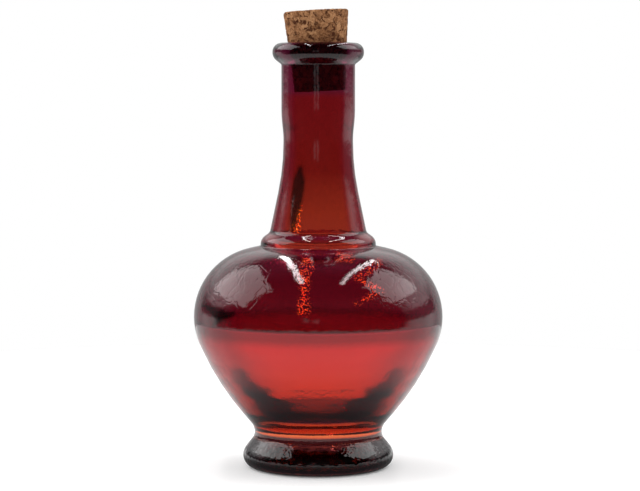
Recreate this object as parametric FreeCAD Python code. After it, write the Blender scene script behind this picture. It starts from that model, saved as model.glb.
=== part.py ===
import FreeCAD, Part
import math
import os

# A round-bellied glass bottle with a solid foot, part filled with drink and
# stopped with a tapered cork that leans in its mouth. Millimetres, +Z up,
# base on Z = 0 and centred on the Z axis. Shares are fractions of the
# section that they are named after.

# Heights of the five sections, from the table up
foot_height = 12.0        # table to the narrowest ring of the waist
body_height = 63.6        # waist to the foot of the collar
collar_height = 4.6       # bead between shoulder and neck
neck_height = 57.0        # collar to the underside of the lip
lip_height = 7.25

# Radii of the outside
bearing_inner_radius = 17.5
foot_radius = 25.7
waist_radius = 21.85
belly_radius = 42.4
collar_radius = 19.65
neck_base_radius = 16.5
neck_slim_radius = 11.82
neck_top_radius = 12.5
lip_radius = 15.52

# Foot
push_up_height = 3.0      # hollow under the base, so that only a ring bears
push_up_flat_share = 0.62    # level middle of the hollow
push_up_reach = 3.2
bearing_edge_reach = 0.8
foot_widest_height = 3.95
foot_top_height = 5.7
waist_rise = 1.85         # straight edges above and below the waist meet it here
waist_drop = 1.35

# Body
belly_break_share = 0.2594
belly_break_radius_share = 0.602
belly_break_reach = 12.6
belly_low_share = 0.5393
belly_widest_share = 0.621
belly_high_share = 0.9182

# Collar and neck
collar_edge_share = 0.52
collar_foot_reach = 0.45
collar_edge_reach = 1.8
neck_base_reach = 0.9
neck_bend_share = 0.3895
neck_bend_reach = 8.6
neck_step_share = 0.5807
neck_step_reach = 1.2
neck_step_end_share = 0.6947
neck_step_end_reach = 2.0

# Lip and bore
lip_root_reach = 0.35
lip_low_share = 0.33
lip_low_reach = 1.6
lip_widest_share = 0.59
mouth_radius = 9.9
mouth_reach = 1.3
bore_end_share = 0.645    # where the taper of the bore runs out
bore_end_reach = 4.0

# Glass inside
belly_wall = 3.0
low_wall = 3.6
shoulder_wall = 3.0
neck_wall = 2.9
cavity_floor_height = 17.8
floor_reach = 4.2
throat_reach = 5.0
inner_break_reach = 11.0

# Drink
drink_share = 0.594       # of the body's height
drink_gap = 0.1

# Cork
cork_length = 27.4
cork_stand_out = 10.95    # above the lip
cork_taper = 0.091        # radius gained per millimetre of length
cork_squeeze = 0.2        # wider than the mouth before it is pressed in
cork_lean = 3.2           # degrees, towards -X
cork_pivot_drop = 4.5     # below the lip
cork_gap = 0.05
cork_top_round = 0.8
cork_bottom_round = 0.5

shortest_run = 0.001      # a straight run between two arcs below this is left out

# Levels that the sections share
waist_level = foot_height
shoulder_level = waist_level + body_height
collar_level = shoulder_level + collar_height
lip_level = collar_level + neck_height
rim_level = lip_level + lip_height
belly_low_level = waist_level + belly_low_share * body_height
belly_widest_level = waist_level + belly_widest_share * body_height
belly_high_level = waist_level + belly_high_share * body_height
drink_level = waist_level + drink_share * body_height
cork_bottom_level = rim_level + cork_stand_out - cork_length


def unit(start, end):
    length = math.hypot(end[0] - start[0], end[1] - start[1])
    return (end[0] - start[0]) / length, (end[1] - start[1]) / length


def along(start, direction, distance):
    return start[0] + direction[0] * distance, start[1] + direction[1] * distance


def to_vector(point):
    return FreeCAD.Vector(point[0], 0, point[1])


def corner_arc(before, corner, after):
    """Arc that touches both edges of a corner at its reach from the corner."""
    reach = corner[2]
    back = unit(corner, before)
    ahead = unit(corner, after)
    first = along(corner, back, reach)
    last = along(corner, ahead, reach)
    half_angle = math.acos(back[0] * ahead[0] + back[1] * ahead[1]) / 2
    radius = reach * math.tan(half_angle)
    bisector = unit((0, 0), (back[0] + ahead[0], back[1] + ahead[1]))
    middle = along(corner, bisector, radius / math.sin(half_angle) - radius)
    return first, middle, last


def rounded_outline(corners):
    """Edges through corners given as radius, height and reach of rounding."""
    edges = []
    place = corners[0][:2]
    for before, corner, after in zip(corners, corners[1:], corners[2:]):
        if corner[2] == 0:
            edges.append(Part.makeLine(to_vector(place), to_vector(corner)))
            place = corner[:2]
            continue
        first, middle, last = corner_arc(before, corner, after)
        if math.dist(place, first) > shortest_run:
            edges.append(Part.makeLine(to_vector(place), to_vector(first)))
        else:
            first = place
        arc = Part.Arc(to_vector(first), to_vector(middle), to_vector(last))
        edges.append(arc.toShape())
        place = last
    edges.append(Part.makeLine(to_vector(place), to_vector(corners[-1])))
    return edges


def revolve(corners):
    """Solid turned from an outline that starts and ends on the axis."""
    edges = rounded_outline(corners)
    start = to_vector(corners[0])
    end = to_vector(corners[-1])
    edges.append(Part.makeLine(end, start))
    face = Part.Face(Part.Wire(edges))
    return face.revolve(FreeCAD.Vector(0, 0, 0), FreeCAD.Vector(0, 0, 1), 360)


def moved_edge(start, end, distance):
    """Outside edge, listed upwards, moved towards the axis: a point and a direction."""
    direction = unit(start, end)
    inwards = (-direction[1], direction[0])
    return along(start, inwards, distance), direction


def meet(first, second):
    """Point where two edges, each a point and a direction, cross."""
    (start, ahead), (other, side) = first, second
    cross = ahead[0] * side[1] - ahead[1] * side[0]
    run = ((other[0] - start[0]) * side[1] - (other[1] - start[1]) * side[0]) / cross
    return along(start, ahead, run)


def foot_corners():
    bottom_flat = push_up_flat_share * bearing_inner_radius
    return [
        (0, push_up_height, 0),
        (bottom_flat, push_up_height, push_up_reach),
        (bearing_inner_radius, 0, bearing_edge_reach),
        (foot_radius, 0, foot_widest_height),
        (foot_radius, foot_top_height, foot_top_height - foot_widest_height),
        (waist_radius, waist_level - waist_drop, waist_drop),
    ]


def body_corners():
    break_level = waist_level + belly_break_share * body_height
    break_radius = waist_radius + belly_break_radius_share * (belly_radius - waist_radius)
    return [
        (waist_radius, waist_level + waist_rise, waist_rise),
        (break_radius, break_level, belly_break_reach),
        (belly_radius, belly_low_level, belly_widest_level - belly_low_level),
        (belly_radius, belly_high_level, belly_high_level - belly_widest_level),
    ]


def neck_corners():
    collar_edge_level = shoulder_level + collar_edge_share * collar_height
    return [
        (collar_radius, shoulder_level, collar_foot_reach),
        (collar_radius, collar_edge_level, collar_edge_reach),
        (neck_base_radius, collar_level, neck_base_reach),
        (neck_slim_radius, collar_level + neck_bend_share * neck_height, neck_bend_reach),
        (neck_slim_radius, collar_level + neck_step_share * neck_height, neck_step_reach),
        (neck_top_radius, collar_level + neck_step_end_share * neck_height, neck_step_end_reach),
    ]


def lip_corners():
    widest_level = lip_level + lip_widest_share * lip_height
    return [
        (neck_top_radius, lip_level, lip_root_reach),
        (lip_radius, lip_level + lip_low_share * lip_height, lip_low_reach),
        (lip_radius, rim_level, rim_level - widest_level),
    ]


def bore_corners(gap):
    """Mouth and tapered bore, narrower all round by the gap."""
    bore_level = collar_level + bore_end_share * neck_height
    return [
        (mouth_radius - gap, rim_level, mouth_reach),
        (neck_slim_radius - neck_wall - gap, bore_level, bore_end_reach),
    ]


def cavity_corners(gap):
    """Hollow from neck to floor: the outside moved in by the wall and the gap."""
    waist, belly_break, belly_low, belly_high = body_corners()
    shoulder, _, neck_base, neck_bend, neck_step, _ = neck_corners()
    slim_edge = moved_edge(neck_bend, neck_step, neck_wall + gap)
    neck_edge = moved_edge(neck_base, neck_bend, neck_wall + gap)
    shoulder_edge = moved_edge(belly_high, shoulder, shoulder_wall + gap)
    belly_edge = moved_edge(belly_low, belly_high, belly_wall + gap)
    bulge_edge = moved_edge(belly_break, belly_low, belly_wall + gap)
    low_edge = moved_edge(waist, belly_break, low_wall + gap)
    floor_level = cavity_floor_height + gap
    floor_edge = ((0, floor_level), (1, 0))
    bend = meet(slim_edge, neck_edge)
    throat = meet(neck_edge, shoulder_edge)
    high = meet(shoulder_edge, belly_edge)
    widest = meet(belly_edge, bulge_edge)
    turn = meet(bulge_edge, low_edge)
    floor_corner = meet(low_edge, floor_edge)
    return [
        (*bend, neck_bend_reach),
        (*throat, throat_reach),
        (*high, high[1] - belly_widest_level),
        (*widest, belly_widest_level - widest[1]),
        (*turn, inner_break_reach),
        (*floor_corner, floor_reach),
        (0, floor_level, 0),
    ]


def make_bottle():
    outside = foot_corners() + body_corners() + neck_corners() + lip_corners()
    inside = bore_corners(0) + cavity_corners(0)
    return revolve(outside + inside)


def make_drink():
    below_neck = cavity_corners(drink_gap)[1:]
    top = (0, shoulder_level, 0)
    throat = (below_neck[0][0], shoulder_level, 0)
    filled = revolve([top, throat] + below_neck)
    return filled.common(Part.makeCylinder(belly_radius, drink_level))


def make_mouth_room():
    """Everything that a stopper may fill: the bore, and the space over the rim."""
    mouth, bore_end = bore_corners(cork_gap)
    below = cork_bottom_level - mouth_radius
    above = rim_level + cork_length
    return revolve([
        (0, below, 0),
        (bore_end[0], below, 0),
        bore_end,
        mouth,
        (belly_radius, rim_level, 0),
        (belly_radius, above, 0),
        (0, above, 0),
    ])


def make_cork():
    """Tapered stopper, leant over about a point in the mouth and trimmed to the bore."""
    radius_at_mouth = mouth_radius + cork_squeeze
    cork_top_level = rim_level + cork_stand_out
    bottom_radius = radius_at_mouth - cork_taper * (rim_level - cork_bottom_level)
    top_radius = radius_at_mouth + cork_taper * cork_stand_out
    cork = revolve([
        (0, cork_bottom_level, 0),
        (bottom_radius, cork_bottom_level, cork_bottom_round),
        (top_radius, cork_top_level, cork_top_round),
        (0, cork_top_level, 0),
    ])
    pivot = FreeCAD.Vector(0, 0, rim_level - cork_pivot_drop)
    cork.rotate(pivot, FreeCAD.Vector(0, 1, 0), -cork_lean)
    return cork.common(make_mouth_room())


def single_solid(shape):
    solids = shape.Solids
    if len(solids) != 1:
        raise ValueError("expected one solid")
    return solids[0]


os.makedirs("parts", exist_ok=True)
nodes = {
    "bottle": make_bottle,
    "cork": make_cork,
    "drink": make_drink,
}
for name, make in nodes.items():
    shape = single_solid(make())
    shape.exportStep("parts/" + name + ".step")
    print(name, "volume", round(shape.Volume), "faces", len(shape.Faces))
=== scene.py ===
import math
import bpy
import numpy as np
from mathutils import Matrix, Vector


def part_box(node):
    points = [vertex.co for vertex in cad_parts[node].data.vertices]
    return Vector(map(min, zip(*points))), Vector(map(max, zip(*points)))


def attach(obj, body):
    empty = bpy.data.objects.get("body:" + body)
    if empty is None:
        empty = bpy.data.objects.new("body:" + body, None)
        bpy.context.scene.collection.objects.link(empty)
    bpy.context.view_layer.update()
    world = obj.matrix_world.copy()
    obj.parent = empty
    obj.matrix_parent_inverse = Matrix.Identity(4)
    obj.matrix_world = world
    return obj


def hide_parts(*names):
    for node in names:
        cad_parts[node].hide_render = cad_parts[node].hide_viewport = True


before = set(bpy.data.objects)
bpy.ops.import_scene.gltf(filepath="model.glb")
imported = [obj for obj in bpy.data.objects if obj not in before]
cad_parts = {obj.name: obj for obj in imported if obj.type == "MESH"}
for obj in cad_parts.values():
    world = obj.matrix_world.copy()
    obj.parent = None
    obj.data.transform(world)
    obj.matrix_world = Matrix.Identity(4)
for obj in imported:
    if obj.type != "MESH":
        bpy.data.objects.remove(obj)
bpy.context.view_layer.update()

_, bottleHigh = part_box("bottle")
drinkLow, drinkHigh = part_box("drink")
print("frame loaded, bottle", round(bottleHigh[2] * 1000, 1), "mm tall")

# Sizes of the bottle in millimetres, as it is nominally; mm scales them to the frame.
# A reach is how far the rounding of a corner runs along its two edges.
glass = {
    "bellyRadius": 42.4,
    "floorLevel": 17.8,
    "wall": 3.0,
    "lowWall": 3.6,
    "neckWall": 2.9,
    "around": 240,        # facets round the axis
    "longestRun": 1.6,    # between two rings of the outline
    "hollowReaches": (8.6, 5.0, 16.2, 4.5, 11.0, 4.2),  # from the neck down to the floor
    "ripple": 0.045,      # how uneven the inner face is
    "rippleCounts": (3, 5, 7, 11, 13, 17),
    "rippleBend": (0.8, 0.045),  # how far the waves bend as they rise, and how fast
    "rippleRise": 0.03,
    "rippleSeed": 4,
    "plainTop": (20, 12),    # below the rim the ripple starts, and grows over this
    "plainFloor": (0.1, 4),  # the same, upwards from the floor
    "under": (19, 3.1),      # radius and height of the foot's clear underside
    "glintEdge": 0.7,        # softness of the streaks' edges
    "shadeEdge": 1.1,
}
mm = bottleHigh[0] / glass["bellyRadius"]
rim = bottleHigh[2] / mm

footCorners = [
    (0, 3.0, 0),
    (10.85, 3.0, 3.2),
    (17.5, 0, 0.8),
    (25.7, 0, 3.95),
    (25.7, 5.7, 1.75),
    (21.85, 10.65, 1.35),
]
bodyCorners = [
    (21.85, 13.85, 1.85),
    (34.22, 28.5, 12.6),
    (42.4, 46.3, 5.2),
    (42.4, 70.4, 18.9),
]
neckCorners = [
    (19.65, 75.6, 0.45),
    (19.65, 77.99, 1.8),
    (16.5, 80.2, 0.9),
    (11.82, 102.4, 8.6),
    (11.82, 113.3, 1.2),
    (12.5, 119.8, 2.0),
]
lipCorners = [
    (12.5, 137.2, 0.35),
    (15.52, 139.6, 1.6),
    (15.52, rim, 2.97),
]
boreCorners = [
    (9.9, rim, 1.3),
    (8.92, 116.97, 4.0),
]


# A point and a direction: an edge of the outside, listed upwards, moved in by the wall.
def movedEdge(start, end, wall):
    start, end = np.array(start[:2], float), np.array(end[:2], float)
    ahead = (end - start) / np.linalg.norm(end - start)
    return start + wall * np.array([-ahead[1], ahead[0]]), ahead


# Where two edges cross: the run along the first that brings it onto the second.
def meet(first, second, reach):
    (start, ahead), (other, side) = first, second
    cross = ahead[0] * side[1] - ahead[1] * side[0]
    gap = other - start
    run = (gap[0] * side[1] - gap[1] * side[0]) / cross
    return (*(start + run * ahead), reach)


# The hollow's corners, downwards: each straight run of the outside is moved in by its
# own wall, and the moved runs are crossed.
def cavityCorners():
    waist, turn, low, high = bodyCorners
    shoulder, _, neckBase, neckBend, neckStep, _ = neckCorners
    slimEdge = movedEdge(neckBend, neckStep, glass["neckWall"])
    neckEdge = movedEdge(neckBase, neckBend, glass["neckWall"])
    shoulderEdge = movedEdge(high, shoulder, glass["wall"])
    bellyEdge = movedEdge(low, high, glass["wall"])
    bulgeEdge = movedEdge(turn, low, glass["wall"])
    lowEdge = movedEdge(waist, turn, glass["lowWall"])
    floorEdge = (np.array([0.0, glass["floorLevel"]]), np.array([1.0, 0.0]))
    edges = (slimEdge, neckEdge, shoulderEdge, bellyEdge, bulgeEdge, lowEdge, floorEdge)
    crossed = zip(edges, edges[1:], glass["hollowReaches"])
    return [meet(*each) for each in crossed] + [(0, glass["floorLevel"], 0)]


# Straight runs with an arc in each corner. The arc touches both edges at the reach
# from the corner, so its radius is the reach times the tangent of half the corner's
# angle, and its points are the two end directions blended by their sines.
def roundedOutline(corners, arcStep=0.09):
    points = [np.array([corners[0][:2]], float)]
    for before, corner, after in zip(corners, corners[1:], corners[2:]):
        here = np.array(corner[:2], float)
        if corner[2] == 0:
            points.append(here[None])
            continue
        back = np.array(before[:2]) - here
        ahead = np.array(after[:2]) - here
        back = back / np.linalg.norm(back)
        ahead = ahead / np.linalg.norm(ahead)
        half = math.acos(np.clip(back @ ahead, -1, 1)) / 2
        radius = corner[2] * math.tan(half)
        inwards = (back + ahead) / np.linalg.norm(back + ahead)
        centre = here + inwards * radius / math.sin(half)
        first = (here + back * corner[2] - centre) / radius
        last = (here + ahead * corner[2] - centre) / radius
        turn = math.pi - 2 * half
        t = np.linspace(0, 1, max(3, math.ceil(turn / arcStep) + 1))[:, None]
        arc = (np.sin((1 - t) * turn) * first + np.sin(t * turn) * last) / math.sin(turn)
        points.append(centre + radius * arc)
    points.append(np.array([corners[-1][:2]], float))
    return np.concatenate(points)


# Adds points to an outline so that no run is longer than the given length, by reading
# it off at even lengths as well as at its own points. Points nearly on the one before
# are left out first.
def evenOutline(outline, longest, nearly=0.02):
    steps = np.linalg.norm(np.diff(outline, axis=0), axis=1)
    outline = outline[np.concatenate([[True], steps > nearly])]
    steps = np.linalg.norm(np.diff(outline, axis=0), axis=1)
    length = np.concatenate([[0], np.cumsum(steps)])
    parts = np.ceil(steps / longest).astype(int)
    start = np.repeat(length[:-1], parts)
    order = np.arange(parts.sum()) - np.repeat(np.cumsum(parts) - parts, parts)
    read = start + np.repeat(steps / parts, parts) * order
    read = np.append(read, length[-1])
    return np.stack([np.interp(read, length, outline[:, k]) for k in (0, 1)], axis=1)


# A surface turned about the axis from rings of points (rings x around x 3), closed by
# one point at each end. Faces go round each ring and up to the next.
def turnedMesh(name, rings, lowPole, highPole):
    count, around = rings.shape[:2]
    points = np.concatenate([rings.reshape(-1, 3), [lowPole], [highPole]])
    i = np.arange(count - 1)[:, None] * around
    j = np.arange(around)[None, :]
    k = (j + 1) % around
    quads = np.stack([i + j, i + k, i + around + k, i + around + j], axis=-1).reshape(-1, 4)
    j, k = j[0], k[0]
    top = (count - 1) * around
    lowFan = np.stack([np.full(around, count * around), k, j], axis=-1)
    highFan = np.stack([np.full(around, count * around + 1), top + j, top + k], axis=-1)
    loops = np.concatenate([quads.ravel(), lowFan.ravel(), highFan.ravel()])
    sizes = np.concatenate([np.full(len(quads), 4), np.full(2 * around, 3)])
    mesh = bpy.data.meshes.new(name)
    mesh.vertices.add(len(points))
    mesh.vertices.foreach_set("co", points.astype(np.float32).ravel())
    mesh.loops.add(len(loops))
    mesh.loops.foreach_set("vertex_index", loops.astype(np.int32))
    mesh.polygons.add(len(sizes))
    starts = np.concatenate([[0], np.cumsum(sizes)[:-1]])
    mesh.polygons.foreach_set("loop_start", starts.astype(np.int32))
    mesh.update(calc_edges=True)
    mesh.validate()
    mesh.polygons.foreach_set("use_smooth", np.ones(len(sizes), bool))
    piece = bpy.data.objects.new(name, mesh)
    bpy.context.scene.collection.objects.link(piece)
    return piece


# Slow waves round and up the glass: for each count a sine round it, bent by a slow
# sine of the height, times a slow sine up it. Their phases are seeded.
def waves(angle, level):
    rng = np.random.default_rng(glass["rippleSeed"])
    counts, (bendSize, bendRate) = glass["rippleCounts"], glass["rippleBend"]
    total = np.zeros(np.broadcast(angle, level).shape)
    for count in counts:
        phase, drift, start = rng.uniform(0, 2 * math.pi, 3)
        bend = bendSize * np.sin(level * bendRate + drift)
        rise = np.sin(level * glass["rippleRise"] * count ** 0.5 + start)
        total += np.sin(count * angle + phase + bend) * rise
    return total / math.sqrt(len(counts))


# Streaks of painted glints (painted highlights) on the front of the inner face, as runs of (x,
# height, half width)
streaks = [
    [(-3.6, 69.6, 2.1), (-4.6, 66.6, 2.0), (-4.2, 62.0, 1.1), (-4.8, 57.4, 1.9)],
    [(19.5, 70.0, 0.8), (12.2, 66.4, 0.8), (19.8, 62.6, 0.8), (11.5, 58.6, 0.3)],
    [(6.5, 71.6, 0.9), (11.0, 71.2, 0.6)],
    [(-5.4, 89.0, 0.4), (-7.2, 81.5, 1.4)],
]

# Painted dark reflections: dark streaks in the front of the outer face, as runs of the same kind
paintedDarkReflections = [
    [(-6.0, 102.4, 0.9), (-6.4, 98.0, 2.2), (-7.2, 91.8, 2.1), (-8.6, 82.0, 1.1)],
    [(-11.6, 117.2, 0.5), (-9.6, 115.2, 0.45), (-7.4, 116.2, 0.3)],
    [(10.4, 115.6, 0.3), (8.8, 116.6, 0.3)],
    [(-38.5, 57.0, 0.8), (-32.5, 54.6, 2.4), (-27.6, 55.6, 0.7)],
    [(-31.5, 54.4, 1.5), (-34.5, 51.2, 0.9)],
]


# How close each place is to a streak: 1 within it, falling to 0 over its edge, by
# the distance to each straight run less the width there.
def streakMask(places, streaks, edge):
    mask = np.zeros(len(places))
    spot = places[:, [0, 2]]
    for streak in streaks:
        for first, last in zip(streak, streak[1:]):
            start, end = np.array(first[:2]), np.array(last[:2])
            run = end - start
            t = np.clip((spot - start) @ run / (run @ run), 0, 1)
            width = first[2] + t * (last[2] - first[2])
            gap = np.linalg.norm(spot - start - t[:, None] * run, axis=1)
            mask = np.maximum(mask, np.clip((width - gap) / edge + 0.5, 0, 1))
    return mask * (places[:, 1] < 0)


# A value for each vertex of a turned mesh, with one for each pole.
def addAttribute(piece, name, values, poles):
    values = np.concatenate([values, poles]).astype(np.float32)
    piece.data.attributes.new(name, "FLOAT", "POINT").data.foreach_set("value", values)


# The outside and the hollow as one outline, turned about the axis: each place is
# (r cos a, r sin a, height). The hollow's r gets the waves, which fade out towards the
# rim and the floor.
def makeGlass():
    outside = footCorners + bodyCorners + neckCorners + lipCorners
    inside = boreCorners + cavityCorners()
    outline = evenOutline(roundedOutline(outside + inside), glass["longestRun"])
    radius, level = outline[1:-1, 0], outline[1:-1, 1]
    mouth = np.argmax(level)
    within = (np.arange(len(radius)) > mouth).astype(float)
    under = (radius < glass["under"][0]) & (level < glass["under"][1])
    clear = np.maximum(within, under)
    angle = np.linspace(0, 2 * math.pi, glass["around"], endpoint=False)
    (top, topRun), (floor, floorRun) = glass["plainTop"], glass["plainFloor"]
    depth = within * np.clip((rim - top - level) / topRun, 0, 1)
    depth = depth * np.clip((level - glass["floorLevel"] - floor) / floorRun, 0, 1)
    ripple = waves(angle[None], level[:, None])
    radius = radius[:, None] + glass["ripple"] * ripple * depth[:, None]
    rings = np.stack([radius * np.cos(angle), radius * np.sin(angle),
                      np.broadcast_to(level[:, None], radius.shape)], axis=-1)
    piece = turnedMesh("bottleGlass", rings * mm,
                       (0, 0, outline[0, 1] * mm), (0, 0, outline[-1, 1] * mm))
    within = np.repeat(within, glass["around"])
    places = rings.reshape(-1, 3)
    # Painted glints on the inner face, and painted dark reflections on the outer face
    paintedGlints = streakMask(places, streaks, glass["glintEdge"]) * within
    dark = streakMask(places, paintedDarkReflections, glass["shadeEdge"]) * (1 - within)
    addAttribute(piece, "inside", np.repeat(clear, glass["around"]), (1, 1))
    addAttribute(piece, "paintedGlints", paintedGlints, (0, 0))
    addAttribute(piece, "paintedDarkReflections", dark, (0, 0))
    return piece


drink = {
    "around": 192,
    "overlap": 0.12,      # reaches into the wall, so that no air shows between
    "meniscus": 0.9,      # climbs the wall by this much
    "meniscusWidth": 2.2,
    "meniscusReach": 4,   # widths over which it is drawn, with this many rings
    "meniscusRings": 14,
    "crowding": 1.5,      # of those rings towards the wall
    "fall": 1.6,          # how fast it falls away over a width
    "longestRun": 1.6,
    "edgeStep": 0.02,     # how much wider the edge is than the last ring of the wall
    "flatRings": 12,      # from its end to the middle
    "lastRing": 0.5,
}


# The hollow's outline from the floor up to the drink's edge, moved outwards into the
# wall, then the surface, which falls away from the wall as a decaying exponential.
def makeDrink():
    level = drinkHigh[2] / mm
    wall = roundedOutline([boreCorners[-1]] + cavityCorners())[::-1]
    wall = evenOutline(wall, drink["longestRun"])
    edge = level + drink["meniscus"]
    wall = wall[: np.argmax(wall[:, 1] > edge)]
    wall = np.concatenate([wall, [[wall[-1, 0] + drink["edgeStep"], edge]]])
    ahead = np.gradient(wall, axis=0)
    ahead /= np.linalg.norm(ahead, axis=1)[:, None]
    wall = wall + drink["overlap"] * np.stack([ahead[:, 1], -ahead[:, 0]], axis=1)
    spread = np.linspace(0, 1, drink["meniscusRings"]) ** drink["crowding"]
    out = spread * drink["meniscusReach"] * drink["meniscusWidth"]
    climb = drink["meniscus"] * np.exp(-out / drink["meniscusWidth"] * drink["fall"])
    lip = np.stack([wall[-1, 0] - out, level + climb], axis=1)[1:]
    inwards = np.linspace(lip[-1, 0], drink["lastRing"], drink["flatRings"])
    flat = np.stack([inwards, level + 0 * inwards], axis=1)[1:]
    outline = np.concatenate([wall[1:], lip, flat])
    angle = np.linspace(0, 2 * math.pi, drink["around"], endpoint=False)
    radius = outline[:, :1]
    rings = np.stack([radius * np.cos(angle), radius * np.sin(angle),
                      outline[:, 1:] + 0 * angle], axis=-1)
    return turnedMesh("redDrink", rings * mm, (0, 0, wall[0, 1] * mm), (0, 0, level * mm))


cork = {
    "length": 27.4,
    "standOut": 10.95,    # above the rim
    "taper": 0.091,
    "lean": 3.2,          # degrees, to the left
    "pivotDrop": 4.5,     # it leans about a point this far under the rim
    "mouthRadius": 10.1,
    "topRound": 0.8,
    "bottomRound": 0.5,
    "around": 256,
    "longestRun": 0.22,
    "arcStep": 0.2,
    "grain": 1.75,        # spacing of the ground cork's crumbs
    "margin": 1.5,        # of crumbs round the outside
    "seed": 12,
    "pit": 0.42,          # depth of the pits between them
    "shares": (0.55, 0.12, 0.75),  # of it: between crumbs, over each, where one is gone
    "creaseWidth": 0.55,
    "gone": 0.02,         # share of the crumbs
    "goneEdge": 0.5,
    "endTurn": 1,         # this near its ends the pits go in upright
    "wallGap": 0.06,
}
tiny = 1e-6               # no length is divided by less


# Distance from each place to its nearest and second nearest seed, and which seed.
# It goes through the places in a few large blocks, to keep the arrays small.
def nearest(places, seeds, block=4000):
    first, second = np.zeros((2, len(places)))
    which = np.zeros(len(places), int)
    for start in range(0, len(places), block):
        part = slice(start, start + block)
        square = ((places[part, None] - seeds[None]) ** 2).sum(-1)
        near = np.argpartition(square, 1, axis=1)[:, :2]
        pair = np.take_along_axis(square, near, axis=1)
        swap = pair[:, 0] > pair[:, 1]
        pair[swap] = pair[swap][:, ::-1]
        near[swap] = near[swap][:, ::-1]
        first[part], second[part], which[part] = pair[:, 0], pair[:, 1], near[:, 0]
    return np.sqrt(first), np.sqrt(second), which


# A tapered cylinder of rings. Each place is moved inwards by a depth that grows where
# it is about as near to two crumbs as to one, then all is leant over and pressed in.
def makeCork():
    length, standOut = cork["length"], cork["standOut"]
    low = cork["mouthRadius"] - cork["taper"] * (length - standOut)
    high = cork["mouthRadius"] + cork["taper"] * standOut
    corners = [
        (0, 0, 0),
        (low, 0, cork["bottomRound"]),
        (high, length, cork["topRound"]),
        (0, length, 0),
    ]
    outline = evenOutline(roundedOutline(corners, cork["arcStep"]), cork["longestRun"])[1:-1]
    angle = np.linspace(0, 2 * math.pi, cork["around"], endpoint=False)
    radius, level = outline[:, :1], outline[:, 1:]
    places = np.stack([radius * np.cos(angle), radius * np.sin(angle), level + 0 * angle], axis=-1)
    shape = places.shape
    places = places.reshape(-1, 3)
    rng = np.random.default_rng(cork["seed"])
    margin = cork["margin"]
    span = high + margin
    number = int((2 * span) ** 2 * (length + 2 * margin) / cork["grain"] ** 3)
    seeds = rng.uniform((-span, -span, -margin), (span, span, length + margin), (number, 3))
    near, far, which = nearest(places, seeds)
    crease = np.clip(1 - (far - near) / cork["creaseWidth"], 0, 1) ** 2
    lump = 1 + rng.uniform(-1, 1, number)[which]
    gone = rng.uniform(0, 1, number)[which] > 1 - cork["gone"]
    gone = gone * np.clip((far - near) / cork["goneEdge"], 0, 1)
    depth = cork["pit"] * (np.stack([crease, lump, gone], axis=1) @ np.array(cork["shares"]))
    centre = np.array([0, 0, length / 2])
    across = places - centre
    pastSide = (np.abs(across[:, 2]) - length / 2) / cork["endTurn"] + 1
    across[:, 2] *= np.clip(pastSide, 0, 1)
    across /= np.maximum(np.linalg.norm(across, axis=1), tiny)[:, None]
    places = places - across * depth[:, None]
    # Stood in the neck, leant over, and pressed in where the bore is narrower
    lean = math.radians(cork["lean"])
    pivot = length - standOut - cork["pivotDrop"]
    x, y, z = places[:, 0], places[:, 1], places[:, 2] - pivot
    x, z = x * math.cos(lean) - z * math.sin(lean), x * math.sin(lean) + z * math.cos(lean)
    z = z + rim - cork["pivotDrop"]
    (mouthEdge, _, _), (boreEdge, _, _) = lipCorners[-1], boreCorners[-1]
    bore = roundedOutline([(mouthEdge, rim, 0)] + boreCorners + [(boreEdge, 0, 0)])[::-1]
    free = np.interp(z, bore[:, 1], bore[:, 0]) - cork["wallGap"]
    squeeze = np.minimum(1, free / np.maximum(np.hypot(x, y), tiny))
    squeeze = np.where(z < rim, squeeze, 1)
    places = np.stack([x * squeeze, y * squeeze, z], axis=-1)
    rings = places.reshape(shape)
    piece = turnedMesh("groundCork", rings * mm, rings[0].mean(0) * mm, rings[-1].mean(0) * mm)
    addAttribute(piece, "pits", depth / cork["pit"], (0, 0))
    return piece


# A new material, with its nodes, its links and its Principled shader.
def newMaterial(name):
    material = bpy.data.materials.new(name)
    material.use_nodes = True
    nodes = material.node_tree.nodes
    return material, nodes, material.node_tree.links, nodes["Principled BSDF"]


# A colour ramp over stops of (place, colour), read at the given value.
def ramp(nodes, links, value, stops):
    node = nodes.new("ShaderNodeValToRGB")
    elements = node.color_ramp.elements
    while len(elements) < len(stops):
        elements.new(0.5)
    for element, (place, colour) in zip(elements, stops):
        element.position = place
        element.color = (*colour, 1)
    links.new(value, node.inputs[0])
    return node.outputs[0]


# A smooth step: 0 below the low value, 1 above the high one. The two may be swapped.
def smoothStep(nodes, links, value, low, high):
    node = nodes.new("ShaderNodeMapRange")
    node.interpolation_type = "SMOOTHSTEP"
    node.inputs["From Min"].default_value = min(low, high)
    node.inputs["From Max"].default_value = max(low, high)
    node.inputs["To Min"].default_value = float(low > high)
    node.inputs["To Max"].default_value = float(low < high)
    links.new(value, node.inputs["Value"])
    return node.outputs[0]


# One step of sums on values: each may be an output or a plain number.
def calc(nodes, links, kind, a, b=None):
    node = nodes.new("ShaderNodeMath")
    node.operation = kind
    for socket, value in zip(node.inputs, (a, b)):
        if isinstance(value, (int, float)):
            socket.default_value = value
        elif value is not None:
            links.new(value, socket)
    return node.outputs[0]


# Mixes two colours by a mask. Each may be an output or a plain colour.
def mixColours(nodes, links, mask, first, second):
    node = nodes.new("ShaderNodeMix")
    node.data_type = "RGBA"
    factor, firstColour, secondColour = (node.inputs[k] for k in (0, 6, 7))
    for socket, value in ((factor, mask), (firstColour, first), (secondColour, second)):
        if isinstance(value, bpy.types.NodeSocket):
            links.new(value, socket)
        elif isinstance(value, tuple):
            socket.default_value = (*value, 1)
        else:
            socket.default_value = value
    return node.outputs[2]


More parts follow.
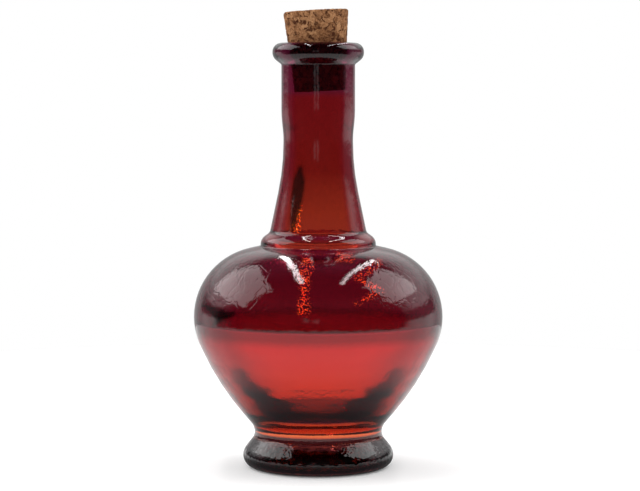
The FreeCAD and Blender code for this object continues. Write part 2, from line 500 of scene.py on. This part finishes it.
# Object coordinates in millimetres of the nominal bottle, whole and split.
def nominalPlace(nodes, links):
    place = nodes.new("ShaderNodeTexCoord")
    scale = nodes.new("ShaderNodeVectorMath")
    scale.operation = "SCALE"
    scale.inputs["Scale"].default_value = 1 / mm
    links.new(place.outputs["Object"], scale.inputs[0])
    split = nodes.new("ShaderNodeSeparateXYZ")
    links.new(scale.outputs[0], split.inputs[0])
    return scale.outputs[0], split


def noise(nodes, links, place, scale, detail, rough):
    node = nodes.new("ShaderNodeTexNoise")
    node.inputs["Scale"].default_value = scale
    node.inputs["Detail"].default_value = detail
    node.inputs["Roughness"].default_value = rough
    links.new(place, node.inputs["Vector"])
    return node.outputs["Fac"]


def attribute(nodes, name):
    node = nodes.new("ShaderNodeAttribute")
    node.attribute_name = name
    return node.outputs["Fac"]


# Cells with wandering edges: a tone for each cell, and the distance to its edge.
# The place is moved by a noise times the wander before the cells are read there.
def wanderingCells():
    group = bpy.data.node_groups.new("wanderingCells", "ShaderNodeTree")
    group.interface.new_socket("Place", in_out="INPUT", socket_type="NodeSocketVector")
    for name in ("Scale", "Wander", "Wander Scale", "Wander Detail"):
        group.interface.new_socket(name, in_out="INPUT", socket_type="NodeSocketFloat")
    for name in ("Tone", "Edge"):
        group.interface.new_socket(name, in_out="OUTPUT", socket_type="NodeSocketFloat")
    nodes, links = group.nodes, group.links
    given, out = nodes.new("NodeGroupInput"), nodes.new("NodeGroupOutput")
    stir = nodes.new("ShaderNodeTexNoise")
    links.new(given.outputs["Place"], stir.inputs["Vector"])
    links.new(given.outputs["Wander Scale"], stir.inputs["Scale"])
    links.new(given.outputs["Wander Detail"], stir.inputs["Detail"])
    moved = nodes.new("ShaderNodeVectorMath")
    moved.operation = "MULTIPLY_ADD"
    sources = (stir.outputs["Color"], given.outputs["Wander"], given.outputs["Place"])
    for source, socket in zip(sources, moved.inputs):
        links.new(source, socket)
    cells, edges = nodes.new("ShaderNodeTexVoronoi"), nodes.new("ShaderNodeTexVoronoi")
    edges.feature = "DISTANCE_TO_EDGE"
    for node in (cells, edges):
        links.new(moved.outputs[0], node.inputs["Vector"])
        links.new(given.outputs["Scale"], node.inputs["Scale"])
    tone = nodes.new("ShaderNodeSeparateColor")
    links.new(cells.outputs["Color"], tone.inputs[0])
    links.new(tone.outputs[0], out.inputs["Tone"])
    links.new(edges.outputs["Distance"], out.inputs["Edge"])
    return group


cellGroup = wanderingCells()


# The group placed in a material, with its own (scale, wander, its scale, its detail).
def cellsIn(nodes, links, place, values):
    node = nodes.new("ShaderNodeGroup")
    node.node_tree = cellGroup
    links.new(place, node.inputs["Place"])
    for name, value in zip(("Scale", "Wander", "Wander Scale", "Wander Detail"), values):
        node.inputs[name].default_value = value
    return node.outputs["Tone"], node.outputs["Edge"]


# Tint of light that goes in through one wall and out through the other, by height
# as a share of the glass. The near-black foot is partly the thick glass's deep colour
# and partly painted shade, for the shaded table seen down through it.
glassColours = [
    (0.0, (0.003, 0.0006, 0.0016)),
    (0.050, (0.004, 0.0006, 0.002)),
    (0.066, (0.02, 0.003, 0.008)),
    (0.076, (0.30, 0.045, 0.03)),
    (0.082, (0.70, 0.12, 0.045)),
    (0.095, (0.86, 0.19, 0.06)),
    (0.125, (0.88, 0.20, 0.08)),
    (0.17, (0.96, 0.44, 0.29)),
    (0.22, (0.96, 0.44, 0.29)),
    (0.27, (0.91, 0.33, 0.33)),
    (0.344, (0.80, 0.22, 0.32)),
    (0.347, (0.10, 0.003, 0.008)),
    (0.49, (0.08, 0.0025, 0.007)),
    (0.515, (0.18, 0.012, 0.020)),
    (0.535, (0.26, 0.025, 0.012)),
    (0.60, (0.24, 0.020, 0.008)),
    (0.70, (0.14, 0.006, 0.0045)),
    (0.872, (0.13, 0.004, 0.006)),
    (0.888, (0.085, 0.006, 0.018)),
    (0.92, (0.085, 0.006, 0.018)),
    (0.97, (0.03, 0.003, 0.010)),
]

# Heights and widths here are in millimetres. A noise is (scale, detail, roughness), with
# its scale per millimetre.
glassSurface = {
    "ior": 1.5,
    "side": (0.14, 0.007, 0.036),      # where the neck's wall is seen edge on
    "bellySide": (0.08, 0.004, 0.020),
    "lowSide": (0.37, 0.10, 0.21),
    "sideSteps": (0.16, 0.42),         # how far edge on that starts and is full
    "footTop": (12, 20),
    "drinkLine": (49.8, 50.2),
    "neckFoot": (70, 78),
    # The shade and its colour paint dark reflections into the front of the outer face
    "shade": 0.975,                    # of the dark streaks
    "shadeColour": (0.001, 0.0008, 0.001),
    "clear": (1.0, 0.97, 0.97),        # the inner face
    # Painted highlights: the colours and strength of the glints, shown as emission
    "redGlint": (1.0, 0.10, 0.02),     # glints of the rough flecks inside
    "goldGlint": (1.0, 0.62, 0.05),
    "glintStrength": 7.0,
    "glintScale": 2.3,
    "glintShare": (0.2, 0.5),          # which of the cells are lit
    "glintSize": (0.42, 0.25),
    "swellNoise": (0.16, 4.0, 0.6),    # of the outer face
    "swell": 0.10,                     # and its height
    "crinkleNoise": (0.75, 4.0, 0.6),
    "crinkle": 0.022,
    "dentNoise": (0.6, 1.5, 0.5),      # of the lumps on the foot
    "dent": 0.2,
    "dentEnd": (12, 9),
    "creaseCells": (0.16, 6, 0.3, 2),  # of the creases on the shoulders
    "crease": 0.03,
    "creaseWidth": 0.10,
    "creaseAside": (12, 18),
    "creaseHeights": ((54, 58), (74, 70)),
    "absorb": (0.9, 0.35, 0.4, 1),
    "absorbDensity": 4,
}


def glassMaterial():
    look = glassSurface
    material, nodes, links, shader = newMaterial("rubyGlass")
    place, split = nominalPlace(nodes, links)
    height = split.outputs["Z"]
    share = calc(nodes, links, "DIVIDE", height, rim)
    tint = ramp(nodes, links, share, glassColours)
    aslant = nodes.new("ShaderNodeLayerWeight").outputs["Facing"]
    sides = smoothStep(nodes, links, aslant, *look["sideSteps"])
    upper = smoothStep(nodes, links, height, *look["drinkLine"])
    side = mixColours(nodes, links, upper, look["lowSide"], look["bellySide"])
    neckZone = smoothStep(nodes, links, height, *look["neckFoot"])
    side = mixColours(nodes, links, neckZone, side, look["side"])
    aboveFoot = smoothStep(nodes, links, height, *look["footTop"])
    sides = calc(nodes, links, "MULTIPLY", sides, aboveFoot)
    tint = mixColours(nodes, links, sides, tint, side)
    # Painted dark reflections: the tint goes dark in their streaks
    dark = calc(nodes, links, "MULTIPLY", attribute(nodes, "paintedDarkReflections"), look["shade"])
    tint = mixColours(nodes, links, dark, tint, look["shadeColour"])
    base = mixColours(nodes, links, attribute(nodes, "inside"), tint, look["clear"])
    links.new(base, shader.inputs["Base Color"])
    shader.inputs["Roughness"].default_value = 0.0
    shader.inputs["IOR"].default_value = look["ior"]
    shader.inputs["Transmission Weight"].default_value = 1.0
    # Painted glints: emission at the bright middles of small cells, within the streaks
    cells = nodes.new("ShaderNodeTexVoronoi")
    cells.inputs["Scale"].default_value = look["glintScale"]
    links.new(place, cells.inputs["Vector"])
    spark = nodes.new("ShaderNodeSeparateColor")
    links.new(cells.outputs["Color"], spark.inputs[0])
    lit = smoothStep(nodes, links, spark.outputs[0], *look["glintShare"])
    middle = smoothStep(nodes, links, cells.outputs["Distance"], *look["glintSize"])
    paintedGlints = calc(nodes, links, "MULTIPLY", lit, middle)
    paintedGlints = calc(nodes, links, "MULTIPLY", paintedGlints, attribute(nodes, "paintedGlints"))
    glintColour = mixColours(nodes, links, spark.outputs[1], look["redGlint"], look["goldGlint"])
    glow = mixColours(nodes, links, paintedGlints, (0.0, 0.0, 0.0), glintColour)
    links.new(glow, shader.inputs["Emission Color"])
    shader.inputs["Emission Strength"].default_value = look["glintStrength"]
    # Poured glass: slow swells, and on them finer crinkles, lumps on the foot and creases
    # on the shoulders, each as a share of the swells' height
    uneven = noise(nodes, links, place, *look["swellNoise"])
    crinkle = noise(nodes, links, place, *look["crinkleNoise"])
    dents = noise(nodes, links, place, *look["dentNoise"])
    footZone = smoothStep(nodes, links, height, *look["dentEnd"])
    dents = calc(nodes, links, "MULTIPLY", dents, footZone)
    _, edge = cellsIn(nodes, links, place, look["creaseCells"])
    crease = smoothStep(nodes, links, edge, 0.0, look["creaseWidth"])
    sideways = calc(nodes, links, "ABSOLUTE", split.outputs["X"])
    zone = smoothStep(nodes, links, sideways, *look["creaseAside"])
    for steps in look["creaseHeights"]:
        zone = calc(nodes, links, "MULTIPLY", zone, smoothStep(nodes, links, height, *steps))
    crease = calc(nodes, links, "MULTIPLY", crease, zone)
    for part, name in ((crinkle, "crinkle"), (dents, "dent"), (crease, "crease")):
        part = calc(nodes, links, "MULTIPLY", part, look[name] / look["swell"])
        uneven = calc(nodes, links, "ADD", uneven, part)
    bump = nodes.new("ShaderNodeBump")
    bump.inputs["Strength"].default_value = 1.0
    bump.inputs["Distance"].default_value = look["swell"] * mm
    links.new(uneven, bump.inputs["Height"])
    links.new(bump.outputs[0], shader.inputs["Normal"])
    volume = nodes.new("ShaderNodeVolumeAbsorption")
    volume.inputs["Color"].default_value = look["absorb"]
    volume.inputs["Density"].default_value = look["absorbDensity"]
    links.new(volume.outputs[0], nodes["Material Output"].inputs["Volume"])
    return material


# Tint of the drink by height above its floor, as a share of its depth
drinkColours = [
    (0.0, (0.62, 0.11, 0.03)),
    (0.12, (0.62, 0.09, 0.03)),
    (0.45, (0.68, 0.05, 0.035)),
    (0.84, (0.66, 0.045, 0.05)),
    (0.92, (0.19, 0.020, 0.028)),
    (0.985, (0.17, 0.017, 0.024)),
    (0.993, (0.3, 0.07, 0.12)),
]

# A painted dark refraction: the dark bowl low in the drink, the dark surroundings as the
# liquid would bend them, painted where its side is seen aslant: how far aslant it starts,
# by height as for the tint, and how far aslant and how high it ends. Its floor is a
# painted dark band at the drink's lower edge.
paintedDarkBowl = {
    "colour": (0.018, 0.006, 0.011),
    "starts": [
        (0.0, 0.060), (0.05, 0.085), (0.075, 0.118), (0.12, 0.135),
        (0.18, 0.148), (0.34, 0.160), (0.46, 0.162), (0.80, 0.175),
    ],
    "soft": 0.007,
    "ends": (0.245, 0.222),
    "lowest": (18.6, 20.0),
    "highest": (35.5, 29),
    "paintedFloorShade": (0.07, 0.010, 0.025),
    "floorAslant": (0.40, 0.27),
    "floorTop": (21.5, 20.5),
    "ior": 1.02,
}


def drinkMaterial():
    look = paintedDarkBowl
    material, nodes, links, shader = newMaterial("redDrinkLiquid")
    _, split = nominalPlace(nodes, links)
    height = split.outputs["Z"]
    low, high = drinkLow[2] / mm, drinkHigh[2] / mm
    share = calc(nodes, links, "SUBTRACT", height, low)
    share = calc(nodes, links, "DIVIDE", share, high - low)
    tint = ramp(nodes, links, share, drinkColours)
    aslant = nodes.new("ShaderNodeLayerWeight").outputs["Facing"]
    # Painted shade: a dark band on the drink's floor where it is seen aslant
    floor = smoothStep(nodes, links, aslant, *look["floorAslant"])
    nearFloor = smoothStep(nodes, links, height, *look["floorTop"])
    floor = calc(nodes, links, "MULTIPLY", floor, nearFloor)
    tint = mixColours(nodes, links, floor, tint, look["paintedFloorShade"])
    starts = ramp(nodes, links, share, [(place, (value,) * 3) for place, value in look["starts"]])
    past = calc(nodes, links, "SUBTRACT", aslant, starts)
    # Painted dark refraction: the bowl's dark colour where the side is seen aslant
    paintedBowlShade = smoothStep(nodes, links, past, -look["soft"], look["soft"])
    for value, name in ((aslant, "ends"), (height, "lowest"), (height, "highest")):
        paintedBowlShade = calc(nodes, links, "MULTIPLY", paintedBowlShade, smoothStep(nodes, links, value, *look[name]))
    base = mixColours(nodes, links, paintedBowlShade, tint, look["colour"])
    links.new(base, shader.inputs["Base Color"])
    shader.inputs["Roughness"].default_value = 0.0
    shader.inputs["IOR"].default_value = look["ior"]
    shader.inputs["Transmission Weight"].default_value = 1.0
    return material


corkSurface = {
    "browns": [
        (0, (0.050, 0.019, 0.008)), (0.3, (0.16, 0.064, 0.025)),
        (0.6, (0.29, 0.130, 0.056)), (1, (0.45, 0.230, 0.108)),
    ],
    # Painted shade for the crevices and deep pits
    "creviceShade": (0.070, 0.021, 0.008),
    "crumbCells": (0.42, 3.2, 0.55, 3),
    "crumbTones": (0.32, 0.6),     # darkest crumb, and how far up the lightest is
    "grainNoise": (2.0, 4.0, 0.6),
    "grain": 1.5,
    "crack": (0.12, 0.03),         # how near the edge of a crumb it opens
    "patchNoise": (0.75, 2.0, 0.5),
    "patches": (0.44, 0.60),
    "deep": (0.55, 0.95),          # how deep a pit is dark
    "relief": 0.22,
    "roughness": 0.95,
    "specular": 0.15,
}


def corkMaterial():
    look = corkSurface
    material, nodes, links, shader = newMaterial("groundCorkCrumb")
    place, _ = nominalPlace(nodes, links)
    tone, edge = cellsIn(nodes, links, place, look["crumbCells"])
    # Each crumb has its own brown, with a little grain over it
    fine = noise(nodes, links, place, *look["grainNoise"])
    grain = calc(nodes, links, "SUBTRACT", fine, 0.5)
    grain = calc(nodes, links, "MULTIPLY", grain, look["grain"])
    darkest, spread = look["crumbTones"]
    crumb = calc(nodes, links, "ADD", calc(nodes, links, "MULTIPLY", tone, spread), darkest)
    browns = ramp(nodes, links, calc(nodes, links, "ADD", grain, crumb), look["browns"])
    # Painted shade in the crevices, which open along some of the crumbs' edges only, and in the
    # deep pits
    crack = smoothStep(nodes, links, edge, *look["crack"])
    patches = noise(nodes, links, place, *look["patchNoise"])
    patches = smoothStep(nodes, links, patches, *look["patches"])
    pits = smoothStep(nodes, links, attribute(nodes, "pits"), *look["deep"])
    dark = calc(nodes, links, "MULTIPLY", crack, patches)
    dark = calc(nodes, links, "MAXIMUM", dark, pits)
    base = mixColours(nodes, links, dark, browns, look["creviceShade"])
    links.new(base, shader.inputs["Base Color"])
    shader.inputs["Roughness"].default_value = look["roughness"]
    shader.inputs["Specular IOR Level"].default_value = look["specular"]
    bump = nodes.new("ShaderNodeBump")
    bump.inputs["Strength"].default_value = 1.0
    bump.inputs["Distance"].default_value = look["relief"] * mm
    links.new(calc(nodes, links, "SUBTRACT", fine, dark), bump.inputs["Height"])
    links.new(bump.outputs[0], shader.inputs["Normal"])
    return material


bottlePiece = makeGlass()
drinkPiece = makeDrink()
corkPiece = makeCork()
for piece, node, slot, material in (
    (bottlePiece, "bottle", "ruby_glass", glassMaterial()),
    (drinkPiece, "drink", "drink", drinkMaterial()),
    (corkPiece, "cork", "cork", corkMaterial()),
):
    piece.data.materials.append(material)
    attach(piece, "root")
    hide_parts(node)
    print(piece.name, "made,", len(piece.data.polygons), "faces")


table = {
    "radius": 0.36,
    "around": 96,
    "white": (0.9, 0.9, 0.9, 1),
    "glow": 0.12,             # lifts it to white where it is looked at
    "shade": (0.020, 0.075),  # mirrored in the glass, it is dark this near the foot
    "shadeLevel": 0.1,
}


# A round white table. Looked at, it shows the shadows; through the glass it is plain
# white; mirrored in the glass it has a painted shade round the foot.
def makeTable():
    angle = np.linspace(0, 2 * math.pi, table["around"], endpoint=False)
    points = np.stack([np.cos(angle), np.sin(angle), 0 * angle], axis=-1) * table["radius"]
    mesh = bpy.data.meshes.new("studioFloor")
    mesh.from_pydata(points.tolist(), [], [list(range(table["around"]))])
    floor = bpy.data.objects.new("studioFloor", mesh)
    bpy.context.scene.collection.objects.link(floor)
    material = bpy.data.materials.new("whiteTable")
    material.use_nodes = True
    nodes, links = material.node_tree.nodes, material.node_tree.links
    nodes.clear()
    out = nodes.new("ShaderNodeOutputMaterial")
    diffuse = nodes.new("ShaderNodeBsdfDiffuse")
    diffuse.inputs[0].default_value = table["white"]
    glow = nodes.new("ShaderNodeEmission")
    path = nodes.new("ShaderNodeLightPath")
    looked, through = path.outputs["Is Camera Ray"], path.outputs["Is Transmission Ray"]
    links.new(calc(nodes, links, "MULTIPLY", looked, table["glow"]), glow.inputs["Strength"])
    both = nodes.new("ShaderNodeAddShader")
    links.new(diffuse.outputs[0], both.inputs[0])
    links.new(glow.outputs[0], both.inputs[1])
    place = nodes.new("ShaderNodeTexCoord")
    reach = nodes.new("ShaderNodeVectorMath")
    reach.operation = "LENGTH"
    links.new(place.outputs["Object"], reach.inputs[0])
    # Painted shade round the foot, seen only where the table is mirrored in the glass
    level = smoothStep(nodes, links, reach.outputs["Value"], *table["shade"])
    level = calc(nodes, links, "MULTIPLY", level, 1 - table["shadeLevel"])
    level = calc(nodes, links, "ADD", level, table["shadeLevel"])
    level = calc(nodes, links, "MAXIMUM", level, through)
    plain = nodes.new("ShaderNodeEmission")
    links.new(level, plain.inputs["Strength"])
    choice = nodes.new("ShaderNodeMixShader")
    bounced = calc(nodes, links, "MAXIMUM", path.outputs["Is Glossy Ray"], through)
    links.new(bounced, choice.inputs[0])
    links.new(both.outputs[0], choice.inputs[1])
    links.new(plain.outputs[0], choice.inputs[2])
    links.new(choice.outputs[0], out.inputs["Surface"])
    mesh.materials.append(material)


# Directions here are the sine of the height, and x or y of a unit vector
room = {
    "ceiling": (0.76, 0.52),       # where the white backdrop ends
    "dim": 0.03,                   # the ceiling, and the room behind the camera
    "behind": (-0.15, 0.15),
    "backdrop": 0.5,               # low on the backdrop, as the glass mirrors it
    "gapDepth": 0.85,              # how much of the mirrored white a dark gap takes
    "sides": (0.5, 0.85),          # aside from here, and above there, it is white
    "raised": (0.10, 0.35),
    "leftGap": (-0.93, -0.975),    # dark gaps at the left, and low at both sides
    "lowGap": (0.58, 0.72),
    "lowGapHeights": ((-0.03, 0.02), (0.21, 0.14)),
    "fill": 0.8,                   # soft light on the cork and the table
}


# The room as seen along a ray: white from the table up to the ceiling, dim above.
# Rays that bounce off the glass also see the dim room behind the camera, less of
# the backdrop low down in the middle, and the dark gaps at the sides.
def makeWorld():
    world = bpy.data.worlds.new("studioRoom")
    bpy.context.scene.world = world
    world.use_nodes = True
    nodes, links = world.node_tree.nodes, world.node_tree.links
    nodes.clear()
    out = nodes.new("ShaderNodeOutputWorld")
    background = nodes.new("ShaderNodeBackground")
    background.inputs["Color"].default_value = (1, 1, 1, 1)
    path = nodes.new("ShaderNodeLightPath")
    place = nodes.new("ShaderNodeTexCoord")
    split = nodes.new("ShaderNodeSeparateXYZ")
    links.new(place.outputs["Generated"], split.inputs[0])
    x, y, z = split.outputs
    aside = calc(nodes, links, "ABSOLUTE", x)
    below = smoothStep(nodes, links, z, *room["ceiling"])
    below = calc(nodes, links, "MAXIMUM", below, room["dim"])
    ahead = smoothStep(nodes, links, y, *room["behind"])
    ahead = calc(nodes, links, "MAXIMUM", ahead, room["dim"])
    bright = smoothStep(nodes, links, aside, *room["sides"])
    bright = calc(nodes, links, "MAXIMUM", bright, smoothStep(nodes, links, z, *room["raised"]))
    bright = calc(nodes, links, "MAXIMUM", bright, room["backdrop"])
    lowGap = smoothStep(nodes, links, aside, *room["lowGap"])
    for steps in room["lowGapHeights"]:
        lowGap = calc(nodes, links, "MULTIPLY", lowGap, smoothStep(nodes, links, z, *steps))
    for gap in (smoothStep(nodes, links, x, *room["leftGap"]), lowGap):
        taken = calc(nodes, links, "MULTIPLY", gap, room["gapDepth"])
        kept = calc(nodes, links, "SUBTRACT", 1, taken)
        bright = calc(nodes, links, "MULTIPLY", bright, kept)
    through = calc(nodes, links, "MULTIPLY", below, path.outputs["Is Transmission Ray"])
    mirrored = calc(nodes, links, "MULTIPLY", below, calc(nodes, links, "MULTIPLY", ahead, bright))
    mirrored = calc(nodes, links, "MULTIPLY", mirrored, path.outputs["Is Glossy Ray"])
    total = calc(nodes, links, "MULTIPLY", path.outputs["Is Diffuse Ray"], room["fill"])
    for level in (path.outputs["Is Camera Ray"], through, mirrored):
        total = calc(nodes, links, "MAXIMUM", total, level)
    links.new(total, background.inputs["Strength"])
    links.new(background.outputs[0], out.inputs["Surface"])


# Soft boxes and strips: place, width and height, brightness (white is 1), and either
# the point that it faces or its turn in plan when it hangs level
lamps = {
    "leftBox": ((-0.70, 0.14, 0.63), (0.95, 0.62), 2.2, (0, 0, 0.065)),
    "rightBox": ((0.68, 0.08, 0.66), (0.72, 0.56), 2.2, (0, 0, 0.065)),
    "leftStrip": ((-0.20, 0.36, 0.97), (0.036, 1.45), 16, 0),
    "rightStrip": ((0.33, 0.27, 0.97), (0.035, 1.25), 14, -5),
    "windowLeft": ((-0.15, -0.78, 0.15), (0.075, 0.09), 0.55, (0, 0, 0.10)),
    "windowRight": ((-0.02, -0.78, 0.15), (0.075, 0.09), 0.55, (0, 0, 0.10)),
}


def makeLamp(name, place, size, brightness, aim):
    lamp = bpy.data.lights.new(name, "AREA")
    lamp.shape = "RECTANGLE"
    lamp.size, lamp.size_y = size
    lamp.energy = brightness * math.pi * size[0] * size[1]
    light = bpy.data.objects.new(name, lamp)
    bpy.context.scene.collection.objects.link(light)
    light.location = place
    light.visible_camera = False
    if isinstance(aim, tuple):
        away = light.location - Vector(aim)
        light.rotation_euler = away.to_track_quat("Z", "Y").to_euler()
    else:
        light.rotation_euler = (0, 0, math.radians(aim))


makeTable()
makeWorld()
for name, setting in lamps.items():
    makeLamp(name, *setting)
print("table, room and", len(lamps), "lamps ready")

view = {
    "away": 0.714,         # metres in front
    "eyeHeight": 0.1252,
    "aimHeight": 0.0757,
    "aside": 0.0006,
    "lens": 118.1,
    "sensor": 36,
}
camera = bpy.data.objects.new("camera", bpy.data.cameras.new("camera"))
bpy.context.scene.collection.objects.link(camera)
camera.data.lens = view["lens"]
camera.data.sensor_width = view["sensor"]
camera.location = (view["aside"], -view["away"], view["eyeHeight"])
drop = math.atan2(view["eyeHeight"] - view["aimHeight"], view["away"])
camera.rotation_euler = (math.pi / 2 - drop, 0, 0)
bpy.context.scene.camera = camera
bpy.context.scene.view_settings.view_transform = "Standard"
print("camera set")
